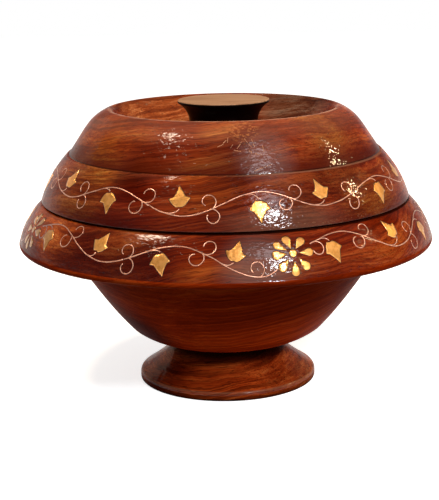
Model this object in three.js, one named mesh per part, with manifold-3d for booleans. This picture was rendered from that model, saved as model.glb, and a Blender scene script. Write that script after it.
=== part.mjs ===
// A round wooden storage box on a turned foot, with a lift-off lid.
// A vine of copper wire with brass leaves and flowers is let into the lid and the brim.
// Millimetres, +Z up, front towards -Y, origin on the table under the middle of the foot.

import * as THREE from "three";
import { mergeVertices, toCreasedNormals } from "three/addons/utils/BufferGeometryUtils.js";
import Module from "manifold-3d";

const wasm = await Module();
wasm.setup();

// Clearances
const glueGap = 0.3; // between two pieces that are glued, screwed or rest on each other
const pocketGap = 0.3; // round each piece of metal in its pocket, in the plane of the band
const pocketFloorGap = 0.5; // under a leaf, petal or flower eye
const spigotClearance = 1; // between the lid's spigot and the mouth of the bowl
const cutterReach = 1; // how far a cutter runs out past the face that it cuts
const edgeRounding = 0.7; // of the crisp turned edges

// Bowl
const brimRadius = 125; // the widest part of the box
const brimOverhang = 32; // from the wall of the bowl out to the edge of the brim
const bowlHeight = 87; // from its base to the seat of the lid
const bowlBaseRadius = 35;
const bellyReach = 27; // from the belly out to the throat
const bellyHeight = 16; // above the base
const bellyBulge = 4.2;
const throatHeight = 54.5; // above the base, where the wall runs into the brim
const throatBulge = 0.6;
const bowlFloor = 9.5;
const bowlWall = 9;
const cavityBulge = 3; // of the cavity below the belly
const mouthDepth = 14; // straight part of the mouth

// Brim of the bowl
const noseRadius = 2.7; // rounding of the brim's edge
const noseDrop = 24; // from the seat down to the middle of the rounded edge
const noseTurn = 32; // degrees that the rounding runs up before the inlaid band begins
const brimBandReach = 14.3; // from the edge of the brim in to the outer edge of the seat
const brimBulge = 1.9;
const seatWidth = 18.7;

// Foot
const footRadius = 54.2;
const footRimHeight = 5;
const footHeight = 25.7; // from the table to the shoulder that the bowl stands on
const footNeckStep = 5; // from the edge of the bowl's base in to the neck
const footNeckHeight = 1.5;
const footHollow = 1; // how far the flare of the foot curves in from straight
const footRingWidth = 10.2; // of the ring that the box stands on
const footRecessDepth = 2;
const tenonRadius = 17;
const tenonLength = 6;

// Lid
const lidOverhang = 0.3; // past the outer edge of the seat
const lidBandReach = 16.8; // from the lower edge of the inlaid band in to its upper edge
const lidBandHeight = 28.2;
const lidBulge = 2;
const seamHeight = 1; // of the shadow line between the lid and the brim
const seamDepth = 2;
const ledgeWidth = 0.9; // small step between the inlaid band and the dome
const shoulderReach = 11.5; // from the band's upper edge in to the shoulder
const shoulderHeight = 15.7; // above the ledge
const ridgeReach = 13.7; // from the shoulder in to the ridge
const ridgeHeight = 26; // above the ledge
const ridgeBulge = 1.3;
const ridgeWidth = 2.2; // before it turns down into the dish
const ridgeFall = 0.3;
const dishReach = 27; // from the ridge in to the flat floor of the dish
const dishDepth = 16.6; // from the ridge down to the dish floor
const dishHollow = 4.5;
const lidFloor = 8.5; // wood under the dish
const lidHollowCorner = 14; // how far the hollow's side leans in under its ceiling
const lidHollowBulge = 3;
const spigotDepth = 6;
const spigotWall = 6;

// Knob and its screw
const knobRadius = 27.4;
const knobEdge = 1.6;
const knobHeight = 20.6; // above the dish floor
const knobWaistRadius = 20.5;
const knobWaistHeight = 8;
const knobBaseRadius = 22;
const knobBaseHollow = 0.4;
const knobHollow = 1.6; // of the flare above the waist
const knobRounding = 0.3;
const screwHeadRadius = 4;
const screwHeadRim = 0.4;
const screwHeadDepth = 2.4;
const screwRadius = 1.9;
const screwLength = 21;
const screwTip = 3;
const screwSlotWidth = 0.9;
const screwSlotDepth = 1;

// Inlay: sections of the metal
const wireWidth = 1;
const wireDepth = 1.1;
const brassThickness = 1.2;

// Inlay: the leaf, with its notch at the stalk and its tip away from it
const leafLength = 11.4;
const leafWidth = 11.2;
const leafHeart = [0.32, -0.05]; // shares of half the width and of the length
const leafPoint = [1, 0.37];
const leafWaist = [0.48, 0.5];

// Inlay: the flower
const flowerRadius = 11.6;
const flowerHeight = 13.8; // above the lower edge of the brim's band
const petalCount = 8;
const petalWidth = 3.9;
const petalInnerRadius = 4;
const eyeRadius = 2;
const petalTurn = 10; // degrees from level to the first petal

// Inlay: the vine on the lid
const lidSprays = 8;
const lidVineStart = -23; // degrees round from the front, where the first spray begins
const lidVineHeight = 17.3;
const lidVineSwing = 6.4;
const lidLeafHeight = 16.3;
const lidCrestShare = 0.72; // share of a wave's length
const lidLeafShares = { up: 0.2, down: 0.7 };
const leafRise = 4.9; // from the middle line of the leaves to the middle of each leaf
const stalkOverlap = 1.1; // how far a stalk runs into its leaf
const stalkReach = 8; // from a leaf's axis back to where its stalk leaves the stem

// Inlay: the vine on the brim
const flowerAngles = [17, 103, 197, 291];
const brimVineHeight = 13;
const brimVineSwing = 8.2;
const vineFlowerGap = 0.6; // between the end of a stem and the circle round the petals
const vineLeavesFlower = 34; // degrees round the eye, where a stem starts
const vineMeetsFlower = 222; // degrees round the eye of the next flower, where it ends
const brimLeafHeight = 12.8;
const brimCrestShare = 0.17; // share of the way from one flower to the next
const brimWaveShare = 0.485;
const brimSplitShare = 0.465; // where one spray ends and the next begins
const brimLeafShares = { down: [0.137, 0.607], up: [0.39, 0.831] };

// Facets
const turnSteps = 40;
const smallTurnSteps = 24;
const screwSteps = 12;
const bandSteps = 3;
const stemSteps = 7;
const eyeSteps = 8;
const petalEndSteps = 4;
const creaseAngle = 25; // degrees between two facets, from which their edge is drawn sharp
const mitreLimit = 0.4; // keeps the mitre of a pointed corner short

// Radii that follow from the brim, going inwards
const throatRadius = brimRadius - brimOverhang;
const bellyRadius = throatRadius - bellyReach;
const seatOuterRadius = brimRadius - brimBandReach;
const mouthRadius = seatOuterRadius - seatWidth;
const lidBaseRadius = seatOuterRadius + lidOverhang;
const lidBandTopRadius = lidBaseRadius - lidBandReach;
const shoulderRadius = lidBandTopRadius - shoulderReach;
const ridgeRadius = shoulderRadius - ridgeReach;
const dishFloorRadius = ridgeRadius - dishReach;
const footNeckRadius = bowlBaseRadius - footNeckStep;

// Heights that follow from the sizes
const bowlBase = footHeight + glueGap;
const seat = bowlBase + bowlHeight;
const lidBase = seat + glueGap;
const ledge = lidBase + lidBandHeight;
const dishFloorLevel = ledge + ridgeHeight - dishDepth;
const lidCeiling = dishFloorLevel - lidFloor;
const knobBase = dishFloorLevel + glueGap;

// Materials
const rosewood = { color: 0x6e2b14, roughness: 0.3, metalness: 0 };
const knobWood = { color: 0x7d452f, roughness: 0.5, metalness: 0 };
const brass = { color: 0xd9a441, roughness: 0.35, metalness: 1 };
const vineMetal = { color: 0xd39a5c, roughness: 0.35, metalness: 1 };
const steel = { color: 0x8d8f92, roughness: 0.4, metalness: 1 };

const radians = THREE.MathUtils.degToRad;
const degrees = THREE.MathUtils.radToDeg;

// A closed geometry as a solid that can be cut and joined
function toSolid(geometry) {
  const bare = geometry.clone();
  bare.deleteAttribute("normal");
  bare.deleteAttribute("uv");
  const merged = mergeVertices(bare, 1e-4);
  const index = merged.index.array;
  const triangles = [];
  for (let i = 0; i < index.length; i += 3) {
    const [a, b, c] = [index[i], index[i + 1], index[i + 2]];
    if (a !== b && b !== c && c !== a) {
      triangles.push(a, b, c);
    }
  }
  return new wasm.Manifold(new wasm.Mesh({
    numProp: 3,
    vertProperties: new Float32Array(merged.attributes.position.array),
    triVerts: new Uint32Array(triangles),
  }));
}

// A solid as a named mesh with its material
function toMesh(name, solid, finish) {
  const cut = solid.getMesh();
  const geometry = new THREE.BufferGeometry();
  geometry.setAttribute("position", new THREE.BufferAttribute(cut.vertProperties, 3));
  geometry.setIndex(new THREE.BufferAttribute(cut.triVerts, 1));
  const faceted = toCreasedNormals(geometry, radians(creaseAngle));
  const mesh = new THREE.Mesh(faceted, new THREE.MeshStandardMaterial(finish));
  mesh.name = name;
  return mesh;
}

// An arc between two points [radius, height] of a turned profile
class ProfileArc {
  // A positive bulge swells to the right of the way from start to end
  constructor(start, end, bulge) {
    const chord = new THREE.Vector2(end[0] - start[0], end[1] - start[1]);
    const half = chord.length() / 2;
    this.radius = (half * half + bulge * bulge) / (2 * bulge);
    this.along = chord.clone().normalize();
    this.out = new THREE.Vector2(this.along.y, -this.along.x);
    this.halfAngle = Math.asin(half / this.radius);
    const middle = new THREE.Vector2((start[0] + end[0]) / 2, (start[1] + end[1]) / 2);
    this.centre = middle.addScaledVector(this.out, bulge - this.radius);
    this.length = 2 * this.radius * this.halfAngle;
  }

  // The point at a distance along the arc, raised above it by a height
  at(distance, height = 0) {
    const angle = distance / this.radius - this.halfAngle;
    const reach = this.radius + height;
    return this.centre.clone()
      .addScaledVector(this.out, reach * Math.cos(angle))
      .addScaledVector(this.along, reach * Math.sin(angle));
  }

  // The points after the start, in equal steps
  steps(count) {
    const points = [];
    for (let i = 1; i <= count; i += 1) {
      points.push(this.at(this.length * i / count).toArray());
    }
    return points;
  }
}

function arc(start, end, bulge, count) {
  return new ProfileArc(start, end, bulge).steps(count);
}

// A turned solid from the right-hand half of its section
function turned(profile, steps) {
  const points = profile.map(([radius, height]) => new THREE.Vector2(radius, height));
  const lathe = new THREE.LatheGeometry(points, steps);
  return toSolid(lathe.rotateX(Math.PI / 2));
}

// A band of a turned face that carries an inlay
class InlaidBand {
  constructor(lower, upper, bulge) {
    this.arc = new ProfileArc(lower, upper, bulge);
    this.lower = lower;
    this.upper = upper;
    this.reference = (lower[0] + upper[0]) / 2;
  }

  radiusAt(height) {
    return this.arc.at(height).x;
  }

  // Drawing coordinates of a point beside an axis at some angle, with true widths at each height
  draw(angle, aside, height) {
    return [this.reference * (radians(angle) + aside / this.radiusAt(height)), height];
  }

  // A flat solid of drawing coordinates, bent round the band
  wrap(flat) {
    return flat.warp((point) => {
      const angle = point[0] / this.reference;
      const place = this.arc.at(point[1], point[2]);
      point[0] = place.x * Math.sin(angle);
      point[1] = -place.x * Math.cos(angle);
      point[2] = place.y;
    });
  }
}

// Metal and its pocket share one drawing: side is added to each edge,
// and top, plate and wire are the heights of the upper face and of the two kinds of floor
const metalFit = { side: 0, top: 0, plate: -brassThickness, wire: -wireDepth };
const pocketFit = {
  side: pocketGap,
  top: cutterReach,
  plate: -brassThickness - pocketFloorGap,
  wire: -wireDepth * (1 + 2 * pocketGap / wireWidth),
};

// A flat plate of an outline, grown by the fit's side
function plate(outline, fit) {
  const count = outline.length;
  const grown = outline.map((point, i) => {
    const before = new THREE.Vector2(...outline[(i + count - 1) % count]);
    const here = new THREE.Vector2(...point);
    const after = new THREE.Vector2(...outline[(i + 1) % count]);
    return mitre(before, here, after, -fit.side);
  });
  const shape = new THREE.Shape(grown);
  const depth = fit.top - fit.plate;
  const geometry = new THREE.ExtrudeGeometry(shape, { depth, bevelEnabled: false });
  return toSolid(geometry.translate(0, 0, fit.plate));
}

// The corner of a path moved to its left by an offset
function mitre(before, here, after, offset) {
  const first = here.clone().sub(before).normalize();
  const second = after.clone().sub(here).normalize();
  const across = new THREE.Vector2(-first.y - second.y, first.x + second.x).normalize();
  const stretch = Math.max(-first.y * across.x + first.x * across.y, mitreLimit);
  return here.clone().addScaledVector(across, offset / stretch);
}

// A wire along a path: flat on top, with a keel below
function wire(path, fit) {
  const points = path.map((point) => new THREE.Vector2(...point));
  const last = points.length - 1;
  const start = points[0].clone().sub(points[1]).setLength(fit.side).add(points[0]);
  const end = points[last].clone().sub(points[last - 1]).setLength(fit.side).add(points[last]);
  points[0] = start;
  points[last] = end;
  const halfWidth = wireWidth / 2 * (fit.top - fit.wire) / wireDepth;
  const vertices = [];
  points.forEach((point, i) => {
    const before = i > 0 ? points[i - 1] : point.clone().multiplyScalar(2).sub(points[1]);
    const after = i < last ? points[i + 1] : point.clone().multiplyScalar(2).sub(points[last - 1]);
    const left = mitre(before, point, after, halfWidth);
    const right = mitre(before, point, after, -halfWidth);
    vertices.push(left.x, left.y, fit.top, right.x, right.y, fit.top, point.x, point.y, fit.wire);
  });
  const triangles = [0, 2, 1];
  for (let i = 0; i < last; i += 1) {
    for (let side = 0; side < 3; side += 1) {
      const here = 3 * i + side;
      const beside = 3 * i + (side + 1) % 3;
      triangles.push(here, beside, here + 3, beside, beside + 3, here + 3);
    }
  }
  triangles.push(3 * last, 3 * last + 1, 3 * last + 2);
  const geometry = new THREE.BufferGeometry();
  geometry.setAttribute("position", new THREE.Float32BufferAttribute(vertices, 3));
  geometry.setIndex(triangles);
  return toSolid(geometry);
}

// An ivy leaf; way is 1 with the tip up and -1 with the tip down
function leafOutline(band, angle, base, way) {
  const side = [leafHeart, leafPoint, leafWaist].map(([across, up]) => {
    return [across * leafWidth / 2, up * leafLength];
  });
  const outline = [[0, 0], ...side, [0, leafLength]];
  side.reverse().forEach(([across, up]) => outline.push([-across, up]));
  return outline.map(([across, up]) => band.draw(angle, way * across, base + way * up));
}

// A petal with its point towards the eye of the flower
function petalOutline(band, angle, order) {
  const direction = radians(petalTurn) + 2 * Math.PI * order / petalCount;
  const half = petalWidth / 2;
  const outline = [[petalInnerRadius, 0]];
  for (let i = 0; i <= petalEndSteps; i += 1) {
    const turn = Math.PI * (i / petalEndSteps - 0.5);
    outline.push([flowerRadius - half + half * Math.cos(turn), half * Math.sin(turn)]);
  }
  return outline.map(([outward, across]) => {
    const aside = outward * Math.cos(direction) - across * Math.sin(direction);
    const up = outward * Math.sin(direction) + across * Math.cos(direction);
    return band.draw(angle, aside, flowerHeight + up);
  });
}

function eyeOutline(band, angle) {
  const outline = [];
  for (let i = 0; i < eyeSteps; i += 1) {
    const turn = 2 * Math.PI * i / eyeSteps;
    outline.push(band.draw(angle, eyeRadius * Math.cos(turn), flowerHeight + eyeRadius * Math.sin(turn)));
  }
  return outline;
}

// The stem of a vine: a wave in height over the angle, with a crest at a given angle.
// Between flowers it rises from the one, and from its last trough it runs out to the other.
class Stem {
  constructor(band, crest, period, middle, swing, ends = null) {
    this.band = band;
    this.crest = crest;
    this.period = period;
    this.middle = middle;
    this.swing = swing;
    this.ends = ends;
  }

  heightAt(angle) {
    const lastTrough = this.crest + 1.5 * this.period;
    if (this.ends && angle < this.crest) {
      const [from, low] = this.ends.start;
      const rise = this.middle + this.swing - low;
      return low + rise * Math.sin(Math.PI / 2 * (angle - from) / (this.crest - from));
    }
    if (this.ends && angle > lastTrough) {
      const [to, high] = this.ends.end;
      const trough = this.middle - this.swing;
      return high - (high - trough) * Math.cos(Math.PI / 2 * (angle - lastTrough) / (to - lastTrough));
    }
    return this.middle + this.swing * Math.cos(2 * Math.PI * (angle - this.crest) / this.period);
  }

  at(angle) {
    return this.band.draw(angle, 0, this.heightAt(angle));
  }

  path(start, end) {
    const points = [];
    for (let i = 0; i <= stemSteps; i += 1) {
      points.push(this.at(start + (end - start) * i / stemSteps));
    }
    return points;
  }

  // A short stalk from the stem to the notch of a leaf
  stalk(angle, base) {
    const root = angle - degrees(stalkReach / this.band.radiusAt(this.middle));
    return [this.at(root), this.band.draw(angle, 0, base)];
  }
}

// The metal of one spray, and the pocket for it
function spray(band, stem, plan) {
  const wires = [stem.path(plan.start, plan.end)];
  const plates = [];
  plan.leaves.forEach(({ angle, way }) => {
    const base = plan.leafHeight + way * (leafRise - leafLength / 2);
    wires.push(stem.stalk(angle, base + way * stalkOverlap));
    plates.push(leafOutline(band, angle, base, way));
  });
  return [metalFit, pocketFit].map((fit) => {
    const flat = [...wires.map((path) => wire(path, fit)), ...plates.map((outline) => plate(outline, fit))];
    return band.wrap(wasm.Manifold.union(flat));
  });
}

// One flower: a round eye and its petals, each a piece of its own
function flower(band, angle) {
  const outlines = { eye: eyeOutline(band, angle) };
  for (let i = 0; i < petalCount; i += 1) {
    outlines[`petal_${i + 1}`] = petalOutline(band, angle, i);
  }
  return Object.entries(outlines).map(([part, outline]) => {
    const [metal, pocket] = [metalFit, pocketFit].map((fit) => band.wrap(plate(outline, fit)));
    return { part, metal, pocket };
  });
}

// Foot: a flared disc with a shallow recess below and a tenon on top
function makeFoot() {
  const flareStart = [footRadius - edgeRounding, footRimHeight];
  return turned([
    [0, footRecessDepth],
    [footRadius - footRingWidth - footRecessDepth, footRecessDepth],
    [footRadius - footRingWidth, 0],
    [footRadius - edgeRounding, 0],
    [footRadius, edgeRounding],
    [footRadius, footRimHeight - edgeRounding],
    flareStart,
    ...arc(flareStart, [footNeckRadius, footHeight - footNeckHeight], -footHollow, 2),
    [footNeckRadius, footHeight],
    [tenonRadius, footHeight],
    [tenonRadius, footHeight + tenonLength - edgeRounding],
    [tenonRadius - edgeRounding, footHeight + tenonLength],
    [0, footHeight + tenonLength],
  ], smallTurnSteps);
}

// Bowl: base, wall and brim in one turned piece, hollowed from the mouth
function makeBowl(band) {
  const belly = [bellyRadius, bowlBase + bellyHeight];
  const throat = [throatRadius, bowlBase + throatHeight];
  const noseCentre = seat - noseDrop;
  const noseUnder = [brimRadius - noseRadius, noseCentre - noseRadius];
  const outside = turned([
    [0, bowlBase],
    [bowlBaseRadius, bowlBase],
    ...arc([bowlBaseRadius, bowlBase], belly, bellyBulge, 4),
    ...arc(belly, throat, throatBulge, 2),
    noseUnder,
    ...arc(noseUnder, [brimRadius, noseCentre], noseRadius * (1 - Math.SQRT1_2), 2),
    band.lower,
    ...band.arc.steps(bandSteps),
    [0, seat],
  ], turnSteps);
  const cavityFloor = bowlBase + bowlFloor;
  const innerBelly = [bellyRadius - bowlWall * Math.SQRT1_2, belly[1] + bowlWall * Math.SQRT1_2];
  const mouthFoot = [mouthRadius, seat - mouthDepth];
  const cavity = turned([
    [0, cavityFloor],
    [bowlBaseRadius, cavityFloor],
    ...arc([bowlBaseRadius, cavityFloor], innerBelly, cavityBulge, 2),
    ...arc(innerBelly, mouthFoot, 2 * throatBulge, 2),
    [mouthRadius, seat + cutterReach],
    [0, seat + cutterReach],
  ], smallTurnSteps);
  const socketRadius = tenonRadius + glueGap;
  const socketTop = footHeight + tenonLength + glueGap;
  const socketMouth = bowlBase - cutterReach;
  const socket = turned([
    [0, socketMouth],
    [socketRadius, socketMouth],
    [socketRadius, socketTop],
    [0, socketTop],
  ], smallTurnSteps);
  return outside.subtract(cavity).subtract(socket);
}

// Lid: inlaid band, dome, dished top and a spigot that drops into the mouth
function makeLid(band) {
  const step = [lidBandTopRadius - ledgeWidth, ledge];
  const shoulder = [shoulderRadius, ledge + shoulderHeight];
  const ridge = [ridgeRadius, ledge + ridgeHeight];
  const innerRidge = [ridgeRadius - ridgeWidth, ledge + ridgeHeight - ridgeFall];
  const dishFoot = [dishFloorRadius, dishFloorLevel];
  const spigotRadius = mouthRadius - spigotClearance;
  const spigotEnd = lidBase - spigotDepth;
  const outside = turned([
    [0, spigotEnd],
    [spigotRadius - edgeRounding, spigotEnd],
    [spigotRadius, spigotEnd + edgeRounding],
    [spigotRadius, lidBase],
    [lidBaseRadius - seamDepth, lidBase],
    [lidBaseRadius - seamDepth, lidBase + seamHeight],
    band.arc.at(seamHeight).toArray(),
    ...band.arc.steps(bandSteps),
    step,
    [step[0] - edgeRounding, ledge + edgeRounding],
    shoulder,
    ...arc(shoulder, ridge, ridgeBulge, 3),
    innerRidge,
    ...arc(innerRidge, dishFoot, -dishHollow, 3),
    [0, dishFloorLevel],
  ], turnSteps);
  const hollowRadius = spigotRadius - spigotWall;
  const cornerFoot = [hollowRadius, lidCeiling - lidHollowCorner];
  const hollow = turned([
    [0, spigotEnd - cutterReach],
    [hollowRadius, spigotEnd - cutterReach],
    cornerFoot,
    ...arc(cornerFoot, [hollowRadius - lidHollowCorner, lidCeiling], lidHollowBulge, 2),
    [0, lidCeiling],
  ], smallTurnSteps);
  return outside.subtract(hollow).subtract(screwSolid(glueGap, lidCeiling - cutterReach));
}

// Knob: a turned button with a flat top, hollow sides and a pilot hole for the screw
function makeKnob() {
  const top = knobBase - glueGap + knobHeight;
  const waist = [knobWaistRadius, knobBase + knobWaistHeight];
  const rim = [knobRadius, top - knobEdge];
  const body = turned([
    [0, knobBase],
    [knobBaseRadius, knobBase],
    ...arc([knobBaseRadius, knobBase], waist, -knobBaseHollow, 2),
    ...arc(waist, rim, -knobHollow, 3),
    [knobRadius, top - knobRounding],
    [knobRadius - knobRounding, top],
    [0, top],
  ], smallTurnSteps);
  return body.subtract(screwSolid(glueGap, lidCeiling - cutterReach));
}

// The screw from its head's face up to its tip, or the hole for it when grown by a gap
function screwSolid(grow, face) {
  const rim = lidCeiling + screwHeadRim;
  const tip = lidCeiling + screwLength;
  return turned([
    [0, face],
    [screwHeadRadius + grow, face],
    [screwHeadRadius + grow, rim],
    [screwRadius + grow, rim + screwHeadDepth],
    [screwRadius + grow, tip - screwTip],
    [0, tip + grow],
  ], screwSteps);
}

// A countersunk wood screw, flush with the lid's ceiling
function makeScrew() {
  const slot = new THREE.BoxGeometry(3 * screwHeadRadius, screwSlotWidth, 2 * screwSlotDepth);
  return screwSolid(0, lidCeiling).subtract(toSolid(slot.translate(0, 0, lidCeiling)));
}

// Sprays of the lid, one for each wave of the vine
function lidPlans(stem, wave) {
  const plans = [];
  for (let i = 0; i < lidSprays; i += 1) {
    const start = lidVineStart + wave * i;
    plans.push({
      name: `lid_spray_${i + 1}`,
      start,
      end: start + wave - gapAngle(stem),
      leafHeight: lidLeafHeight,
      leaves: [
        { angle: start + lidLeafShares.up * wave, way: 1 },
        { angle: start + lidLeafShares.down * wave, way: -1 },
      ],
    });
  }
  return plans;
}

// The angle of the small gap between the ends of two sprays
function gapAngle(stem) {
  return degrees(pocketGap / stem.band.reference);
}

// The point just outside a flower's petals in some direction round its eye: [angle, height]
function besideFlower(band, angle, direction) {
  const reach = flowerRadius + wireWidth / 2 + vineFlowerGap;
  const height = flowerHeight + reach * Math.sin(radians(direction));
  return [angle + degrees(reach * Math.cos(radians(direction)) / band.radiusAt(height)), height];
}

// Sprays of the brim, two from each flower to the next
function brimPlans(band) {
  const plans = [];
  flowerAngles.forEach((from, i) => {
    const to = i + 1 < flowerAngles.length ? flowerAngles[i + 1] : flowerAngles[0] + 360;
    const span = to - from;
    const at = (share) => from + share * span;
    const ends = {
      start: besideFlower(band, from, vineLeavesFlower),
      end: besideFlower(band, to, vineMeetsFlower),
    };
    const wave = brimWaveShare * span;
    const stem = new Stem(band, at(brimCrestShare), wave, brimVineHeight, brimVineSwing, ends);
    const split = at(brimSplitShare);
    const leafPair = (order) => [
      { angle: at(brimLeafShares.down[order]), way: -1 },
      { angle: at(brimLeafShares.up[order]), way: 1 },
    ];
    plans.push({
      name: `brim_spray_${2 * i + 1}`,
      stem,
      start: ends.start[0],
      end: split,
      leafHeight: brimLeafHeight,
      leaves: leafPair(0),
    }, {
      name: `brim_spray_${2 * i + 2}`,
      stem,
      start: split + gapAngle(stem),
      end: ends.end[0],
      leafHeight: brimLeafHeight,
      leaves: leafPair(1),
    });
  });
  return plans;
}

const box = new THREE.Group();
const bowlGroup = new THREE.Group();
const lidGroup = new THREE.Group();
box.add(bowlGroup, lidGroup);

// Bands that carry the inlay
const noseTop = radians(noseTurn);
const brimBand = new InlaidBand(
  [brimRadius - noseRadius * (1 - Math.cos(noseTop)), seat - noseDrop + noseRadius * Math.sin(noseTop)],
  [seatOuterRadius, seat],
  brimBulge,
);
const lidBand = new InlaidBand([lidBaseRadius, lidBase], [lidBandTopRadius, ledge], lidBulge);

// Inlay of the brim
const brimPockets = [];
for (const plan of brimPlans(brimBand)) {
  const [metal, pocket] = spray(brimBand, plan.stem, plan);
  bowlGroup.add(toMesh(plan.name, metal, vineMetal));
  brimPockets.push(pocket);
}
flowerAngles.forEach((angle, i) => {
  for (const { part, metal, pocket } of flower(brimBand, angle)) {
    bowlGroup.add(toMesh(`flower_${i + 1}_${part}`, metal, brass));
    brimPockets.push(pocket);
  }
});

// Inlay of the lid
const lidWave = 360 / lidSprays;
const lidCrest = lidVineStart + lidCrestShare * lidWave;
const lidStem = new Stem(lidBand, lidCrest, lidWave, lidVineHeight, lidVineSwing);
const lidPockets = [];
for (const plan of lidPlans(lidStem, lidWave)) {
  const [metal, pocket] = spray(lidBand, lidStem, plan);
  lidGroup.add(toMesh(plan.name, metal, vineMetal));
  lidPockets.push(pocket);
}

// Turned pieces
bowlGroup.add(toMesh("foot", makeFoot(), rosewood));
bowlGroup.add(toMesh("bowl", makeBowl(brimBand).subtract(wasm.Manifold.union(brimPockets)), rosewood));
lidGroup.add(toMesh("lid", makeLid(lidBand).subtract(wasm.Manifold.union(lidPockets)), rosewood));
lidGroup.add(toMesh("knob", makeKnob(), knobWood));
lidGroup.add(toMesh("knob_screw", makeScrew(), steel));

export default box;
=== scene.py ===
import bisect
import random
from math import asin, ceil, cos, pi, radians, sin, sqrt

import bmesh
import bpy
from mathutils import Matrix, Vector, noise


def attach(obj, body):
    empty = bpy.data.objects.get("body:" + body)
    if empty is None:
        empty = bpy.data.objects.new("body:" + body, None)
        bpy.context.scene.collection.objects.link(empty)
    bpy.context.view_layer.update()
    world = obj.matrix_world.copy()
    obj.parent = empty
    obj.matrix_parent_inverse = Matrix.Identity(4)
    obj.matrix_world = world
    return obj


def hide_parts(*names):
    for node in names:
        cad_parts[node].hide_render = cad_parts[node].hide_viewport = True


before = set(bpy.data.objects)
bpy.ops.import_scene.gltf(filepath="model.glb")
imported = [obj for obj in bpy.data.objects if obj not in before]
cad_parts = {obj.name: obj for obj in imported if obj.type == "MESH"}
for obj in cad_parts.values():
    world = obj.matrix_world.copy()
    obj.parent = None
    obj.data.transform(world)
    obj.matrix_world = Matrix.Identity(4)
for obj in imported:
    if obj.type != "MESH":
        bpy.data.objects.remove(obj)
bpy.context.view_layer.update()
noise.seed_set(4)  # without it, the noise that wires wander by differs from run to run

MM = 0.001
GAP = 0.3  # between two pieces that are glued, screwed or rest on each other

# Turned radii and heights
BRIM_RADIUS = 125
NOSE_RADIUS = 2.7
NOSE_TURN = radians(32)
SEAT_OUTER_RADIUS = 110.7
MOUTH_RADIUS = 92
THROAT_RADIUS = 93
BELLY_RADIUS = 66
BOWL_BASE_RADIUS = 35
BELLY_BULGE = 4.2
THROAT_BULGE = 0.6
BOWL_WALL = 9
BOWL_FLOOR = 9.5
WALL_BULGE = 1.2
CAVITY_BULGE = 3
MOUTH_DEPTH = 14
FOOT_RADIUS = 54.2
FOOT_NECK_RADIUS = 30
FOOT_NECK_HEIGHT = 1.5
FOOT_RING_RADIUS = 44
FOOT_RECESS = 2
FOOT_HOLLOW = 1
FOOT_RIM_HEIGHT = 5
FOOT_HEIGHT = 25.7
TENON_RADIUS = 17
TENON_LENGTH = 6
LID_BASE_RADIUS = 111
LID_BAND_TOP_RADIUS = 94.2
LEDGE_WIDTH = 1.1
SEAM_HEIGHT = 1  # the rebate under the lid, seen as a dark line
SEAM_DEPTH = 2
SPIGOT_RADIUS = 91
SPIGOT_DEPTH = 6
LID_HOLLOW_RADIUS = 85
LID_HOLLOW_CORNER = 14
LID_HOLLOW_BULGE = 3
SHOULDER_RADIUS = 82.7
RIDGE_RADIUS = 69
RIDGE_BULGE = 1.3
RIDGE_WIDTH = 2.2
RIDGE_FALL = 0.3
DISH_FLOOR_RADIUS = 42
DISH_HOLLOW = 4.5
KNOB_RADIUS = 27.4
KNOB_WAIST_RADIUS = 20.5
KNOB_WAIST_HEIGHT = 8
KNOB_BASE_RADIUS = 22
KNOB_BASE_HOLLOW = 0.4
KNOB_EDGE = 1.6
KNOB_HOLLOW = 1.6
SCREW_HOLE_RADIUS = 2.2
SCREW_HOLE_DEPTH = 9.2  # in the knob, up to where the hole narrows
SCREW_HOLE_TIP = 12.2
SCREW_HEAD_RADIUS = 4.3
SCREW_HEAD_RIM = 0.4
SCREW_HEAD_DEPTH = 2.8

BOWL_BASE = FOOT_HEIGHT + GAP
BELLY_HEIGHT = BOWL_BASE + 16
THROAT_HEIGHT = BOWL_BASE + 54.5
SEAT = BOWL_BASE + 87
NOSE_HEIGHT = SEAT - 24
LID_BASE = SEAT + GAP
LEDGE = LID_BASE + 28.2
SHOULDER = LEDGE + 15.7
RIDGE = LEDGE + 26
DISH_FLOOR = RIDGE - 16.6
LID_CEILING = DISH_FLOOR - 8.5
KNOB_BASE = DISH_FLOOR + GAP
KNOB_TOP = DISH_FLOOR + 20.6

# Facets of the dressed pieces
TURN_STEPS = 288
PROFILE_STEP = 2.5
ROUND_STEPS = 5
BAND_STEPS = 24
PLATE_STEP = 1.3
EYE_STEPS = 24
PETAL_END_STEPS = 14
CURL_STEPS = 24
STALK_STEPS = 9
STEM_STEP = 0.8  # degrees

# Inlay
LEAF_LENGTH = 12.1
LEAF_CORNERS = ((1.8, -0.4, 0.5), (3.4, 1.0, 0.4), (5.6, 4.6, 0.35), (3.3, 5.6, 0.7), (1.8, 8.4, 1.0))
LEAF_SLIP = 0.3  # by which the cut of a corner misses its place
FLOWER_REACH = 12.7  # to the ends of the vine
FLOWER_HEIGHT = 14
FLOWER_ANGLES = (17, 103, 197, 291)
VINE_LEAVES_FLOWER = radians(34)  # round the eye
VINE_MEETS_FLOWER = radians(222)
LID_SPRAYS = 8
LID_VINE_START = -23
EYE_RADIUS = 2.05
PETAL_LENGTH = 7.9
PETAL_END_TURN = 100  # degrees to each side
WIRE_WIDTH = 0.56
THIN_WIRE_WIDTH = 0.92 * WIRE_WIDTH
WIRE_DEPTH = 0.5
WIRE_WANDER = 0.35
STALK_REACH = 8.8
STALK_STOP = 1.2  # a stalk ends this far short of its leaf
CURL_RISE = 4.6
CURL_BACK = 1.6
CURL_END_RADIUS = 2.8
CURL_TURN = radians(305)
GLUE_WIDTH = 0.34
WIRE_GLUE_WIDTH = 0.3  # of both sides together
GLUE_HEIGHT = 0.02
GLUE_DEPTH = 0.1
BRASS_HEIGHT = 0.07
BRASS_DEPTH = 0.6
BRASS_BEVEL = 0.16
BRASS_DENT = 0.045
DENT_SIZE = 4


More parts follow.
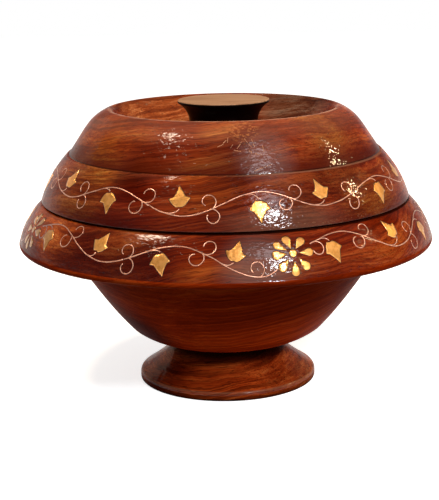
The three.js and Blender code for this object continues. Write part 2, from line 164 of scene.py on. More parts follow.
class ProfileArc:
    """An arc between two points of a profile that swells to the right of its way by bulge."""

    def __init__(self, start, end, bulge):
        start, end = Vector(start), Vector(end)
        chord = end - start
        half = chord.length / 2
        self.radius = (half * half + bulge * bulge) / (2 * bulge)
        self.along = chord.normalized()
        self.out = Vector((self.along.y, -self.along.x))
        self.half_angle = asin(half / self.radius)
        self.centre = (start + end) / 2 + self.out * (bulge - self.radius)
        self.length = 2 * self.radius * self.half_angle

    def at(self, distance, height=0.0):
        angle = distance / self.radius - self.half_angle
        reach = self.radius + height
        return self.centre + (self.out * cos(angle) + self.along * sin(angle)) * reach


def arc(start, end, bulge, count=16):
    """The points after the start, up to the end."""
    curve = ProfileArc(start[:2], end[:2], bulge)
    points = [tuple(curve.at(curve.length * i / count)) for i in range(1, count)]
    return [*points, end]


def softened(path):
    """The path with a rounding at each corner that has a third number, its reach along both sides."""
    points = [Vector(spec[:2]) for spec in path]
    places = [0.0]
    for before, after in zip(points, points[1:]):
        places.append(places[-1] + (after - before).length)

    def at(place):
        i = min(max(bisect.bisect_right(places, place) - 1, 0), len(points) - 2)
        return points[i].lerp(points[i + 1], (place - places[i]) / (places[i + 1] - places[i]))

    corners = [(place, point, spec[2]) for place, point, spec in zip(places, points, path) if len(spec) > 2]
    kept = [
        (place, point)
        for place, point in zip(places, points)
        if all(abs(place - corner) > 1.02 * reach for corner, _, reach in corners)
    ]
    for place, corner, reach in corners:
        first, last = at(place - reach), at(place + reach)
        for i in range(ROUND_STEPS + 1):
            t = i / ROUND_STEPS
            bend = first.lerp(corner, t).lerp(corner.lerp(last, t), t)
            kept.append((place + (2 * t - 1) * reach, bend))
    kept.sort(key=lambda item: item[0])
    return [point for _, point in kept]


def divided(points, step):
    """The points with more between them where they are further apart than a step."""
    result = [points[0]]
    for before, after in zip(points, points[1:]):
        count = max(1, ceil((after - before).length / step))
        result += [before.lerp(after, i / count) for i in range(1, count + 1)]
    return result


def new_object(name, vertices, faces, *materials):
    """A smooth mesh object from millimetres."""
    mesh = bpy.data.meshes.new(name)
    mesh.from_pydata([Vector(v) * MM for v in vertices], [], faces)
    mesh.validate()
    shell = bmesh.new()
    shell.from_mesh(mesh)
    bmesh.ops.recalc_face_normals(shell, faces=shell.faces)
    shell.to_mesh(mesh)
    shell.free()
    mesh.polygons.foreach_set("use_smooth", [True] * len(mesh.polygons))
    for material in materials:
        mesh.materials.append(material)
    piece = bpy.data.objects.new(name, mesh)
    bpy.context.scene.collection.objects.link(piece)
    return piece


def turned(name, path, *materials, closed=False):
    """A turned piece from (radius, height) points that start and end on the axis, or close."""
    points = divided(softened(path), PROFILE_STEP)
    vertices, rings = [], []
    for radius, height in points[:-1] if closed else points:
        if radius < 1e-6:
            rings.append([len(vertices)] * TURN_STEPS)
            vertices.append((0, 0, height))
            continue
        rings.append(range(len(vertices), len(vertices) + TURN_STEPS))
        for i in range(TURN_STEPS):
            angle = 2 * pi * i / TURN_STEPS
            vertices.append((radius * sin(angle), -radius * cos(angle), height))
    faces = []
    for lower, upper in zip(rings, [*rings[1:], rings[0]] if closed else rings[1:]):
        for i in range(TURN_STEPS):
            j = (i + 1) % TURN_STEPS
            corners = [lower[i], lower[j], upper[j], upper[i]]
            faces.append(list(dict.fromkeys(corners)))
    return new_object(name, vertices, faces, *materials)


class Band:
    """A turned face that carries an inlay. Places are (angle in degrees, distance up the band)."""

    def __init__(self, lower, upper, bulge):
        self.arc = ProfileArc(lower, upper, bulge)

    def millimetres_per_degree(self, up):
        return radians(self.arc.at(up).x)

    def place(self, angle, up, height=0.0):
        turn = radians(angle)
        point = self.arc.at(up, height)
        return Vector((point.x * sin(turn), -point.x * cos(turn), point.y))

    def beside(self, place, offset):
        """The place that lies (aside, up) millimetres from another place."""
        up = place[1] + offset[1]
        return (place[0] + offset[0] / self.millimetres_per_degree(up), up)

    def between(self, start, end):
        """The way from one place to another in millimetres."""
        middle = (start[1] + end[1]) / 2
        across = (end[0] - start[0]) * self.millimetres_per_degree(middle)
        return Vector((across, end[1] - start[1]))

    def profile(self, first=1):
        """The points of the face between its lower and its upper edge."""
        return [tuple(self.arc.at(self.arc.length * i / BAND_STEPS)) for i in range(first, BAND_STEPS)]


brim_lower = (
    BRIM_RADIUS - NOSE_RADIUS * (1 - cos(NOSE_TURN)),
    NOSE_HEIGHT + NOSE_RADIUS * sin(NOSE_TURN),
)
BRIM_BULGE = 1.9
LID_BULGE = 2
brim_band = Band(brim_lower, (SEAT_OUTER_RADIUS, SEAT), BRIM_BULGE)
lid_band = Band((LID_BASE_RADIUS, LID_BASE), (LID_BAND_TOP_RADIUS, LEDGE), LID_BULGE)


# Materials


class Shader:
    """A material or world whose nodes are made by short calls. An input is a value or a node's output."""

    def __init__(self, name, kind="Material"):
        self.kind = kind
        owners = bpy.data.worlds if kind == "World" else bpy.data.materials
        self.owner = owners.new(name)
        self.owner.use_nodes = True
        self.tree = self.owner.node_tree
        self.tree.nodes.clear()

    def node(self, kind, inputs, output=0, **settings):
        made = self.tree.nodes.new(f"ShaderNode{kind}")
        for key, value in settings.items():
            setattr(made, key, value)
        for key, value in inputs.items():
            socket = made.inputs[key]
            if isinstance(value, bpy.types.NodeSocket):
                self.tree.links.new(value, socket)
            else:
                socket.default_value = value
        return made.outputs[output]

    def math(self, operation, *values, clamp=False):
        return self.node("Math", dict(enumerate(values)), operation=operation, use_clamp=clamp)

    def times(self, product, *factors):
        for factor in factors:
            product = self.math("MULTIPLY", product, factor)
        return product

    def vector(self, operation, *values):
        return self.node("VectorMath", dict(enumerate(values)), operation=operation)

    def scaled(self, vector, scale):
        return self.node("VectorMath", {0: vector, "Scale": scale}, operation="SCALE")

    def noise(self, vector, scale, detail=2.0, roughness=0.5, output="Fac"):
        """Noise with one scale, or with one for each axis."""
        if isinstance(scale, tuple):
            vector, scale = self.vector("MULTIPLY", vector, scale), 1.0
        inputs = {"Vector": vector, "Scale": scale, "Detail": detail, "Roughness": roughness}
        return self.node("TexNoise", inputs, output=output)

    def noise_along(self, distance, scale, detail=2.0, roughness=0.5):
        inputs = {"W": distance, "Scale": scale, "Detail": detail, "Roughness": roughness}
        return self.node("TexNoise", inputs, output="Fac", noise_dimensions="1D")

    def step(self, value, low, high, result=(0.0, 1.0)):
        ends = {"From Min": low, "From Max": high, "To Min": result[0], "To Max": result[1]}
        return self.node("MapRange", {"Value": value, **ends}, interpolation_type="SMOOTHSTEP")

    def mix(self, factor, first, second, blend="MIX"):
        made = self.tree.nodes.new("ShaderNodeMix")
        made.data_type = "RGBA"
        made.blend_type = blend
        for key, value in ((0, factor), (6, first), (7, second)):
            if isinstance(value, bpy.types.NodeSocket):
                self.tree.links.new(value, made.inputs[key])
            else:
                made.inputs[key].default_value = value
        return made.outputs[2]

    def ramp(self, factor, stops):
        colour = self.node("ValToRGB", {"Fac": factor})
        ramp = colour.node.color_ramp
        ramp.elements[0].position, ramp.elements[0].color = stops[0][0], (*stops[0][1], 1)
        ramp.elements[1].position, ramp.elements[1].color = stops[-1][0], (*stops[-1][1], 1)
        for position, value in stops[1:-1]:
            ramp.elements.new(position).color = (*value, 1)
        return colour

    def height(self, place):
        return self.node("SeparateXYZ", {0: place}, output=2)

    def across(self, place):
        return self.node("SeparateXYZ", {0: place}, output=0)

    def depth(self, place):
        return self.node("SeparateXYZ", {0: place}, output=1)

    def radius(self, place):
        flat = self.vector("MULTIPLY", place, (1, 1, 0))
        return self.node("VectorMath", {0: flat}, output=1, operation="LENGTH")

    def distance(self, place, centre):
        return self.node("VectorMath", {0: place, 1: centre}, output=1, operation="DISTANCE")

    def near(self, value, centre, reach, strength):
        """The strength at a value, fading to 0 at a reach on both sides."""
        distance = self.math("ABSOLUTE", self.math("SUBTRACT", value, centre))
        return self.step(distance, 0.3 * reach, reach, (strength, 0.0))

    def around(self, place, spot, strength=1.0):
        """The strength at a spot (centre, reach), fading to 0 at its reach."""
        centre, reach = spot
        return self.near(self.distance(place, centre), 0, reach, strength)

    def shaded(self, colour, place, shades):
        """The colour multiplied by a tint round each centre."""
        for *spot, tint in shades:
            colour = self.mix(self.around(place, spot), colour, (*tint, 1), "MULTIPLY")
        return colour

    def bump(self, height, distance, normal=None):
        inputs = {"Height": height, "Distance": distance, "Strength": 1.0}
        if normal:
            inputs["Normal"] = normal
        return self.node("Bump", inputs)

    def lacquer(self, place, surface, worn=()):
        """A thin coat with a slightly uneven skin, worn off round some places, as shader inputs."""
        skin = self.noise(place, (0.30, 0.30, 0.60), 1.0, 0.5)
        weight = 0.12
        for centre, reach in worn:
            left = self.step(self.distance(place, centre), 0.4 * reach, reach)
            weight = self.times(left, weight)
        return {
            "Coat Weight": weight,
            "Coat Roughness": 0.06,
            "Coat IOR": 2.2,
            "Coat Normal": self.bump(skin, 0.26 * MM, surface),
        }

    def seen_directly(self):
        """1 for rays from the camera and in reflections, 0 for the light that falls on things."""
        rays = self.node("LightPath", {}).node.outputs
        seen = rays["Is Camera Ray"]
        for name in ("Is Glossy Ray", "Is Transmission Ray"):
            seen = self.math("MAXIMUM", seen, rays[name])
        return seen

    def finish(self, surface):
        output = self.tree.nodes.new(f"ShaderNodeOutput{self.kind}")
        self.tree.links.new(surface, output.inputs["Surface"])
        return self.owner

    def principled(self, inputs):
        return self.finish(self.node("BsdfPrincipled", inputs))

    def millimetres(self):
        place = self.node("TexCoord", {}, output="Object")
        return self.scaled(place, 1 / MM)


def rosewood(name, turns, shift, tones, marks=None, worn=(), polished=True, figure=1.0):
    """Rosewood. The fibres run along X and the layers lie level, before the turns about X, Y and Z.

    The figure is the strength of the dark streaks, hairs and pores.
    """
    s = Shader(name)
    place = s.millimetres()
    turns = [radians(turn) for turn in turns]
    log = s.node("Mapping", {"Vector": place, "Location": shift, "Rotation": turns})
    slow = s.vector("SUBTRACT", s.noise(log, 0.011, 1.5, output="Color"), (0.5, 0.5, 0.5))
    quick = s.vector("SUBTRACT", s.noise(log, 0.07, 2.0, output="Color"), (0.5, 0.5, 0.5))
    warped = s.vector("ADD", log, s.vector("MULTIPLY", slow, (0, 32, 26)))
    warped = s.vector("ADD", warped, s.vector("MULTIPLY", quick, (0, 3, 2.6)))
    depth = s.height(warped)

    layers = s.noise_along(depth, 0.055, 2.0, 0.6)
    growth = s.noise_along(depth, 0.42, 2.0, 0.6)
    fibres = s.noise(warped, (0.012, 0.14, 0.85), 4.0, 0.64)
    patches = s.noise(warped, (0.009, 0.03, 0.05), 2.0, 0.5)
    hairs = s.noise(warped, (0.07, 0.8, 2.9), 2.0, 0.5)
    pores = s.noise(log, (0.16, 1.2, 2.6), 1.0, 0.4)

    tone = s.math("MULTIPLY_ADD", layers, 0.40, s.times(patches, 0.40))
    tone = s.math("MULTIPLY_ADD", fibres, 0.50, tone)
    colour = s.ramp(s.step(tone, 0.50, 0.82), tones)
    streaks = s.times(s.step(growth, 0.49, 0.61), s.step(patches, 0.36, 0.62, (1.0, 0.3)))
    colour = s.mix(s.times(streaks, 0.66 * figure), colour, STREAK_COLOUR)
    colour = s.mix(s.step(hairs, 0.50, 0.70, (0.0, 0.75 * figure)), colour, HAIR_COLOUR)
    colour = s.mix(s.step(pores, 0.66, 0.74, (0.0, 0.75 * figure)), colour, PORE_COLOUR)
    if marks:
        colour = marks(s, place, colour)

    swell = s.bump(s.noise(place, 0.045, 1.0), 0.45 * MM)
    grain = s.bump(fibres, 0.05 * MM, swell)
    surface = s.bump(s.step(pores, 0.60, 0.72, (1.0, 0.0)), 0.03 * MM, grain)
    shine = {"Specular IOR Level": 0.003, "Roughness": 0.4}
    if polished:
        shine = {
            "Specular IOR Level": 0.01,
            "Roughness": s.step(s.noise(place, 0.06, 3.0, 0.6), 0.3, 0.7, (0.24, 0.36)),
            **s.lacquer(place, surface, worn),
        }
    return s.principled({
        "Base Color": colour,
        "Specular Tint": (1.0, 0.72, 0.52, 1),
        "Normal": surface,
        **shine,
    })


STREAK_COLOUR = (0.055, 0.0035, 0.0005, 1)
HAIR_COLOUR = (0.05, 0.004, 0.0008, 1)
PORE_COLOUR = (0.008, 0.0015, 0.0008, 1)
# pale: dust and wear, also used for painted glints and highlights at the ledge, the band's lower edge and
# the foot's rim
DUST_AND_GLINT = (0.34, 0.17, 0.09, 1)
# near black: painted shade in the grooves and the seam, under the bowl and at the foot's bottom edge
PAINTED_SHADE = (0.010, 0.002, 0.001, 1)
DEEP_RED = (0.07, 0.006, 0.001, 1)
LOW_RED = (0.045, 0.0015, 0.0002, 1)
RAW_WOOD = (0.50, 0.17, 0.05, 1)
# pale: wear at the ridge, and painted sheen and highlights on the dome and the band
SHEEN_AND_WORN_EDGE = (0.52, 0.25, 0.15, 1)
# pale: painted sheen where lamps reflect, and scuffed lacquer on the dome's front
SHEEN_AND_SCUFF = (0.44, 0.27, 0.23, 1)

# Spots on the turned faces: centre and reach, and for a shade also its tint. The sheen spots mark painted
# sheen; the tints are partly the wood's own tone and partly painted light and shade.
DOME_SHEEN_AND_SCUFFS = ((22, -84, 149), 21)
LOW_PAINTED_SHEEN = ((32, -105, LID_BASE + 6), 46)
BRIM_PAINTED_SHEEN = ((16, -121, 96), 26)
SCUFFS = ((10, -75, 163), 12)
LOW_SPECKS = ((52, -96, LID_BASE + 2), 62)
LID_SHADES = [
    # painted reflection: the darker, bluish smear on the dome's front
    ((17, -88, 148), 30, (0.6, 0.56, 0.66)),
    ((36, -102, 121), 26, (0.6, 0.85, 1.4)),
    ((84, -72, 114), 34, (1.0, 1.5, 1.05)),
    ((-58, -62, 150), 34, (1.35, 1.9, 1.5)),
    ((-68, -40, 157), 26, (1.5, 2.1, 1.7)),
    ((-80, -10, 154), 24, (1.25, 1.5, 1.2)),
    ((-3, -75, 166), 17, (1.45, 2.3, 2.1)),
    ((53, -54, 163), 22, (1.2, 2.0, 1.7)),
    ((60, -56, 151), 28, (0.76, 0.66, 0.56)),
    ((-78, -62, 131), 34, (1.1, 1.8, 1.9)),
    ((-8, -95, 139), 24, (1.3, 1.8, 1.2)),
    ((0, -103, 127), 24, (0.72, 0.66, 0.72)),
    ((61, -74, 138), 26, (0.55, 0.5, 0.36)),
    ((0, -86, 149), 22, (0.72, 0.68, 0.85)),
    # painted reflection: a bluish grey sheen over the right of the dish
    ((46, 44, 166), 44, (0.6, 1.5, 4.0)),
    ((-46, 42, 166), 46, (1.85, 4.0, 6.5)),
    # painted light: the next two make the right edges of the dome and the band warmer and paler, where a
    # lamp from the right grazes them
    ((90, -10, 150), 40, (1.9, 2.1, 0.8)),
    ((106, -14, 122), 24, (1.7, 1.8, 0.7)),
    ((97, -25, 137), 20, (0.5, 0.4, 0.45)),
    ((46, -86, 136), 16, (0.65, 0.55, 0.5)),
    ((-52, -80, 139), 16, (0.62, 0.6, 0.7)),
    ((-52, -93, 126), 26, (0.72, 0.5, 0.5)),
    ((-46, -80, 146), 22, (0.68, 0.55, 0.8)),
]
BRIM_WORN = [((88, -77, 103), 24)]
LID_WORN = [((28, 50, 160), 30), ((-43, -86, 141), 22)]
BRIM_SHADES = [
    ((-78, -92, 92), 40, (0.42, 0.28, 0.27)),
    ((-90, -67, 111), 30, (2.2, 3.9, 4.2)),
    ((-104, -40, 110), 26, (1.5, 1.7, 1.2)),
    ((-54, -99, 113), 25, (1.75, 3.1, 3.3)),
    ((-22, -117, 101), 22, (1.5, 1.55, 0.9)),
    ((0, -122, 98), 52, (0.74, 0.66, 0.6)),
    ((-44, -114, 92), 34, (0.38, 0.22, 0.17)),
    # painted sheen: bluish at the front of the brim
    ((20, -118, 100), 26, (0.75, 1.0, 1.6)),
    ((86, -84, 102), 54, (1.08, 1.0, 0.75)),
]
# painted shade on the lower left of the bowl
UNDER_SHADES = [
    ((-46, -38, 40), 30, (0.22, 0.16, 0.2)),
    ((-60, -30, 58), 26, (0.45, 0.32, 0.12)),
]
FOOT_SHADES = [
    ((-40, -34, 8), 26, (0.45, 0.33, 0.3)),
    ((34, -36, 10), 26, (0.55, 0.45, 0.45)),
    ((50, -14, 9), 24, (0.72, 0.85, 1.3)),
]
# painted shade: darker metal at the far left of the brim
METAL_SHADES = [((-113, -46, 100), 38, (0.45, 0.5, 0.75))]


def lid_marks(s, place, colour):
    """Darker and paler places, partly the wood's own tone and partly painted light and shade. Painted shade
    above the ledge and in the grooves; wear with painted highlights at the ledge, the ridge and the lower
    edge; painted sheen on the dome and the band; scuffs on the top.
    """
    height, radius, across = s.height(place), s.radius(place), s.across(place)
    colour = s.shaded(colour, place, LID_SHADES)

    # painted shade: the foot of the dome, just above the ledge, is darker
    above = s.math("GREATER_THAN", height, LEDGE + 0.1)
    dome_foot_shade = s.times(above, s.step(height, LEDGE, LEDGE + 12, (0.85, 0.0)))
    colour = s.mix(dome_foot_shade, colour, DEEP_RED)
    low = s.math("SUBTRACT", 1.0, s.step(height, LID_BASE + 3, LID_BASE + 13))
    low_share = s.math("ADD", s.near(across, -70, 30, 0.5), 0.32)
    outside = s.step(radius, LID_BASE_RADIUS - 12, LID_BASE_RADIUS - 8)
    colour = s.mix(s.times(low, low_share, outside), colour, LOW_RED)

    # painted shade: a dark line in the step just above the ledge
    colour = s.mix(s.near(height, LEDGE + 0.4, 0.6, 0.55), colour, PAINTED_SHADE)
    # a paler line along the ledge, strongest at the front right: painted highlight, with wear
    ledge_glint_and_wear = s.times(s.near(height, LEDGE - 0.2, 0.4, 0.3), s.step(across, -10, 25, (0.1, 1.0)))
    colour = s.mix(ledge_glint_and_wear, colour, DUST_AND_GLINT)
    # a paler, patchy line along the front of the ridge's inner lip: painted highlight, with wear
    top = s.math("GREATER_THAN", height, RIDGE - 2)
    front = s.step(s.depth(place), -30, 20, (1.0, 0.0))
    patchy = s.step(s.noise(place, 0.16, 2.0), 0.36, 0.56, (0.25, 0.85))
    edge = s.near(radius, RIDGE_RADIUS - 1.3, 2.2, 1.0)
    colour = s.mix(s.times(top, front, patchy, edge), colour, SHEEN_AND_WORN_EDGE)

    # painted sheen, broken into patches: on the dome's front, where scuffed lacquer also pales it; on the
    # lower front of the band; and over the top of the dome
    sheen_patches = s.noise(place, (0.12, 0.12, 0.9), 3.0, 0.6)
    sheen_patches = s.step(sheen_patches, 0.3, 0.7, (0.6, 1.0))
    colour = s.mix(s.times(sheen_patches, s.around(place, DOME_SHEEN_AND_SCUFFS, 0.18)), colour, SHEEN_AND_SCUFF)
    below = s.step(height, LID_BASE + 7, LID_BASE + 14, (1.0, 0.0))
    colour = s.mix(s.times(sheen_patches, s.around(place, LOW_PAINTED_SHEEN, 0.16), below), colour, SHEEN_AND_WORN_EDGE)
    crown = s.step(height, SHOULDER - 3, SHOULDER + 6)
    outer = s.step(radius, RIDGE_RADIUS - 2, RIDGE_RADIUS, (0.0, 0.13))
    colour = s.mix(s.times(sheen_patches, crown, outer), colour, SHEEN_AND_WORN_EDGE)

    grit = s.noise(place, (0.5, 0.5, 1.0), 4.0, 0.7)
    scuffs = s.times(s.step(grit, 0.5, 0.6), s.around(place, SCUFFS, 0.6))
    colour = s.mix(scuffs, colour, RAW_WOOD)
    # pale specks along the lower edge at the front right: dust, and painted glints
    lower_edge = s.near(height, LID_BASE + 2, 3.5, 1.0)
    specks = s.times(s.step(grit, 0.56, 0.66), s.around(place, LOW_SPECKS, 0.4), lower_edge)
    colour = s.mix(specks, colour, DUST_AND_GLINT)
    # painted shade: dark in the rebate under the lid
    groove_top = LID_BASE + SEAM_HEIGHT
    groove = s.step(height, groove_top - 0.2, groove_top + 0.2, (0.95, 0.0))
    groove = s.times(groove, s.step(radius, LID_BASE_RADIUS - 4, LID_BASE_RADIUS - 1))
    return s.mix(groove, colour, PAINTED_SHADE)


def brim_marks(s, place, colour):
    """Darker and paler places, partly painted light and shade, a painted sheen at the front, and a painted
    shadow line where the lid meets the brim.
    """
    colour = s.shaded(colour, place, BRIM_SHADES)
    # painted sheen at the front of the brim
    colour = s.mix(s.around(place, BRIM_PAINTED_SHEEN, 0.18), colour, SHEEN_AND_SCUFF)
    # painted shadow: a dark line where the lid meets the brim, fainter at the far left
    share = s.step(s.across(place), -95, -20, (0.1, 0.9))
    seam_shadow = s.times(share, s.near(s.radius(place), SEAT_OUTER_RADIUS, 2.5, 1.0))
    return s.mix(s.times(s.near(s.height(place), SEAT, 0.5, 1.0), seam_shadow), colour, PAINTED_SHADE)


def under_marks(s, place, colour):
    """Painted shade: darker places on the lower left, and a bowl that gets darker towards the brim, in its
    shade.
    """
    colour = s.shaded(colour, place, UNDER_SHADES)
    return s.scaled(colour, s.step(s.height(place), BELLY_HEIGHT - 8, THROAT_HEIGHT + 2, (1.72, 0.71)))


def foot_marks(s, place, colour):
    """Darker and paler places, partly painted shade; painted shadow where the foot meets the bowl and
    painted shade where it meets the table; and a worn rim, with a painted highlight.
    """
    height = s.height(place)
    colour = s.shaded(colour, place, FOOT_SHADES)
    # painted shadow of the bowl on the neck of the foot
    colour = s.mix(s.step(height, FOOT_HEIGHT - 11, FOOT_HEIGHT - 4, (0.0, 0.97)), colour, PAINTED_SHADE)
    colour = s.mix(s.step(height, FOOT_RIM_HEIGHT - 1.6, FOOT_RIM_HEIGHT, (0.2, 0.0)), colour, DEEP_RED)
    # painted shade at the bottom edge, where the foot meets the table
    colour = s.mix(s.step(height, 0.6, 2.4, (0.85, 0.0)), colour, PAINTED_SHADE)
    # a paler line round the top of the rim: wear, with a painted highlight
    return s.mix(s.near(height, FOOT_RIM_HEIGHT, 0.8, 0.25), colour, DUST_AND_GLINT)


KNOB_TOP_TONES = [
    (0.0, (0.26, 0.12, 0.055)),
    (0.55, (0.38, 0.2, 0.105)),
    (1.0, (0.46, 0.265, 0.15)),
]
# nearly black: painted shade on the knob's turned side
KNOB_SIDE_SHADE_TONES = [(0.0, (0.0008, 0.0002, 0.0002)), (1.0, (0.003, 0.0006, 0.0004))]


def knob_wood():
    """Paler, drier end face of the knob, whose turned side stays dark: nearly black, as painted shade."""
    s = Shader("knob_wood")
    place = s.millimetres()
    rings = s.noise(place, (0.03, 0.35, 0.35), 4.0, 0.6)
    specks = s.noise(place, (0.4, 1.4, 1.4), 3.0, 0.6)
    tone = s.step(rings, 0.3, 0.7)
    pale = s.ramp(tone, KNOB_TOP_TONES)
    pale = s.mix(s.step(specks, 0.56, 0.74, (0.0, 0.5)), pale, (0.16, 0.055, 0.022, 1))
    # painted shade: the turned side is nearly black
    dark = s.ramp(tone, KNOB_SIDE_SHADE_TONES)
    ragged_height = s.math("MULTIPLY_ADD", specks, 0.3, s.height(place))
    top = s.step(ragged_height, KNOB_TOP - 0.45, KNOB_TOP - 0.05)
    return s.principled({
        "Base Color": s.mix(top, dark, pale),
        "Roughness": s.math("MULTIPLY_ADD", top, 0.2, 0.36),
        "Specular IOR Level": 0.05,
        "Normal": s.bump(rings, 0.05 * MM),
    })


def inlay_metal(name, bright, dull, roughness):
    """Soft metal, filed flush by hand and polished with the wood."""
    s = Shader(name)
    place = s.millimetres()
    tarnish = s.noise(place, 0.35, 3.0, 0.6)
    files = s.noise(place, (0.6, 2.2, 4.5), 3.0, 0.6)
    colour = s.mix(s.step(tarnish, 0.35, 0.68), (*bright, 1), (*dull, 1))
    # painted shade on the metal at the far left
    colour = s.shaded(colour, place, METAL_SHADES)
    surface = s.bump(files, 0.012 * MM, s.bump(s.noise(place, 0.28, 1.0), 0.16 * MM))
    return s.principled({
        "Base Color": colour,
        "Metallic": 0.68,
        "Roughness": s.step(files, 0.3, 0.7, (roughness - 0.07, roughness + 0.1)),
        "Specular IOR Level": 0.5,
        "Normal": surface,
        **s.lacquer(place, surface),
    })


def dark_glue():
    """Dark resin that fills the gap round each piece of metal."""
    s = Shader("dark_glue")
    grit = s.noise(s.millimetres(), 1.8, 3.0)
    return s.principled({
        "Base Color": s.ramp(grit, [(0.3, (0.006, 0.002, 0.0012)), (0.75, (0.05, 0.016, 0.007))]),
        "Roughness": s.step(grit, 0.3, 0.7, (0.38, 0.6)),
        "Specular IOR Level": 0.25,
        "Normal": s.bump(grit, 0.03 * MM),
    })


def bare_scratch():
    """Scratched lacquer that shows paler, raw wood."""
    s = Shader("bare_scratch")
    grit = s.noise(s.millimetres(), 2.5, 2.0)
    return s.principled({
        "Base Color": s.ramp(grit, [(0.3, (0.33, 0.1, 0.035)), (0.7, (0.62, 0.29, 0.13))]),
        "Roughness": 0.6,
        "Normal": s.bump(grit, 0.03 * MM),
    })


def brushed_steel():
    s = Shader("brushed_steel")
    lines = s.noise(s.millimetres(), (0.5, 6.0, 2.0), 3.0)
    return s.principled({
        "Base Color": s.ramp(lines, [(0.3, (0.36, 0.36, 0.37)), (0.7, (0.6, 0.6, 0.61))]),
        "Metallic": 1.0,
        "Roughness": s.step(lines, 0.3, 0.7, (0.28, 0.45)),
        "Normal": s.bump(lines, 0.01 * MM),
    })


WARM_TONES = [
    (0.0, (0.11, 0.008, 0.0008)),
    (0.35, (0.18, 0.0175, 0.0022)),
    (0.68, (0.25, 0.034, 0.006)),
    (1.0, (0.35, 0.072, 0.016)),
]
DEEP_TONES = [
    (0.0, (0.195, 0.014, 0.0008)),
    (0.4, (0.285, 0.022, 0.0016)),
    (0.75, (0.375, 0.036, 0.003)),
    (1.0, (0.46, 0.06, 0.0075)),
]
# paler than the lid's tones: painted light on the foot, which sits in the brim's shade
FOOT_PAINTED_LIGHT_TONES = [
    (0.0, (0.26, 0.026, 0.003)),
    (0.4, (0.43, 0.062, 0.009)),
    (0.75, (0.58, 0.115, 0.02)),
    (1.0, (0.72, 0.19, 0.042)),
]
INSIDE_TONES = [
    (0.0, (0.09, 0.015, 0.0035)),
    (0.4, (0.16, 0.031, 0.0075)),
    (0.75, (0.24, 0.056, 0.014)),
    (1.0, (0.33, 0.095, 0.028)),
]
bowl_log = ((-6, 6, -8), (90, 0, 37))
lid_log = ((5, 5, 6), (0, 12, 0))
lid_finish = rosewood("lid_rosewood", *lid_log, WARM_TONES, lid_marks, LID_WORN)
lid_under_finish = rosewood("lid_under_rosewood", *lid_log, INSIDE_TONES, lid_marks, polished=False)
bowl_finish = rosewood("bowl_rosewood", *bowl_log, WARM_TONES, brim_marks, BRIM_WORN)
bowl_under_finish = rosewood(
    "bowl_under_rosewood", *bowl_log, DEEP_TONES, under_marks, polished=False, figure=0.55
)
bowl_inside_finish = rosewood("bowl_inside_rosewood", *bowl_log, INSIDE_TONES, polished=False)
foot_log = ((4, 5, 14), (40, 60, 90))
foot_finish = rosewood("foot_rosewood", *foot_log, FOOT_PAINTED_LIGHT_TONES, foot_marks)
foot_rim_finish = rosewood("foot_rim_rosewood", *foot_log, FOOT_PAINTED_LIGHT_TONES, foot_marks, polished=False)
brass = inlay_metal("brass", (0.92, 0.43, 0.11), (0.74, 0.30, 0.055), 0.34)
copper_wire = inlay_metal("copper_wire", (0.86, 0.43, 0.28), (0.58, 0.23, 0.14), 0.36)
glue = dark_glue()


# Turned pieces


def dress(piece, body, slot, *nodes):
    """The piece rides on a body and stands for CAD nodes. The slot is not used."""
    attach(piece, body)
    if nodes:
        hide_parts(*nodes)


def make_foot():
    rim, neck = (FOOT_RADIUS, FOOT_RIM_HEIGHT), (FOOT_NECK_RADIUS, FOOT_HEIGHT - FOOT_NECK_HEIGHT)
    piece = turned("foot_turned", [
        (0, FOOT_RECESS), (FOOT_RING_RADIUS - FOOT_RECESS, FOOT_RECESS, 0.4),
        (FOOT_RING_RADIUS, 0, 0.5), (FOOT_RADIUS, 0, 0.9), (*rim, 1.6),
        *arc(rim, (*neck, 0.6), -FOOT_HOLLOW),
        (FOOT_NECK_RADIUS, FOOT_HEIGHT, 0.3), (TENON_RADIUS, FOOT_HEIGHT, 0.3),
        (TENON_RADIUS, FOOT_HEIGHT + TENON_LENGTH, 0.8), (0, FOOT_HEIGHT + TENON_LENGTH),
    ], foot_finish, foot_rim_finish)
    for face in piece.data.polygons:
        face.material_index = 1 if face.center.z / MM < FOOT_RIM_HEIGHT - 1.8 else 0
    dress(piece, "bowl", "rosewood", "foot")


def make_bowl():
    socket_radius, socket_top = TENON_RADIUS + GAP, FOOT_HEIGHT + TENON_LENGTH + GAP
    base, belly = (BOWL_BASE_RADIUS, BOWL_BASE), (BELLY_RADIUS, BELLY_HEIGHT)
    throat, nose_side = (THROAT_RADIUS, THROAT_HEIGHT), (BRIM_RADIUS, NOSE_HEIGHT)
    nose_under = (BRIM_RADIUS - NOSE_RADIUS, NOSE_HEIGHT - NOSE_RADIUS)
    inner_belly = (BELLY_RADIUS - BOWL_WALL * sqrt(0.5), BELLY_HEIGHT + BOWL_WALL * sqrt(0.5))
    mouth_end = (MOUTH_RADIUS, SEAT - MOUTH_DEPTH)
    cavity_floor = BOWL_BASE + BOWL_FLOOR
    piece = turned("bowl_turned", [
        (0, socket_top), (socket_radius, socket_top), (socket_radius, BOWL_BASE, 0.3), (*base, 0.8),
        *arc(base, (*belly, 10), BELLY_BULGE),
        *arc(belly, (*throat, 2), THROAT_BULGE),
        nose_under,
        *arc(nose_under, nose_side, NOSE_RADIUS * (1 - sqrt(0.5)), 8),
        *arc(nose_side, brim_lower, NOSE_RADIUS * (1 - cos(NOSE_TURN / 2)), 4),
        *brim_band.profile(),
        (SEAT_OUTER_RADIUS, SEAT, 1.3), (MOUTH_RADIUS, SEAT, 0.6), mouth_end,
        *arc(mouth_end, inner_belly, -WALL_BULGE),
        *arc(inner_belly, (BOWL_BASE_RADIUS, cavity_floor), -CAVITY_BULGE),
        (0, cavity_floor),
    ], bowl_finish, bowl_under_finish, bowl_inside_finish)
    for face in piece.data.polygons:
        centre = face.center / MM
        faces_axis = centre.xy.dot(face.normal.xy) < 0 or centre.xy.length < BOWL_BASE_RADIUS
        if centre.z > cavity_floor - 1 and faces_axis:
            face.material_index = 2
        elif centre.z < NOSE_HEIGHT + 1.2:
            face.material_index = 1
    dress(piece, "bowl", "rosewood", "bowl")


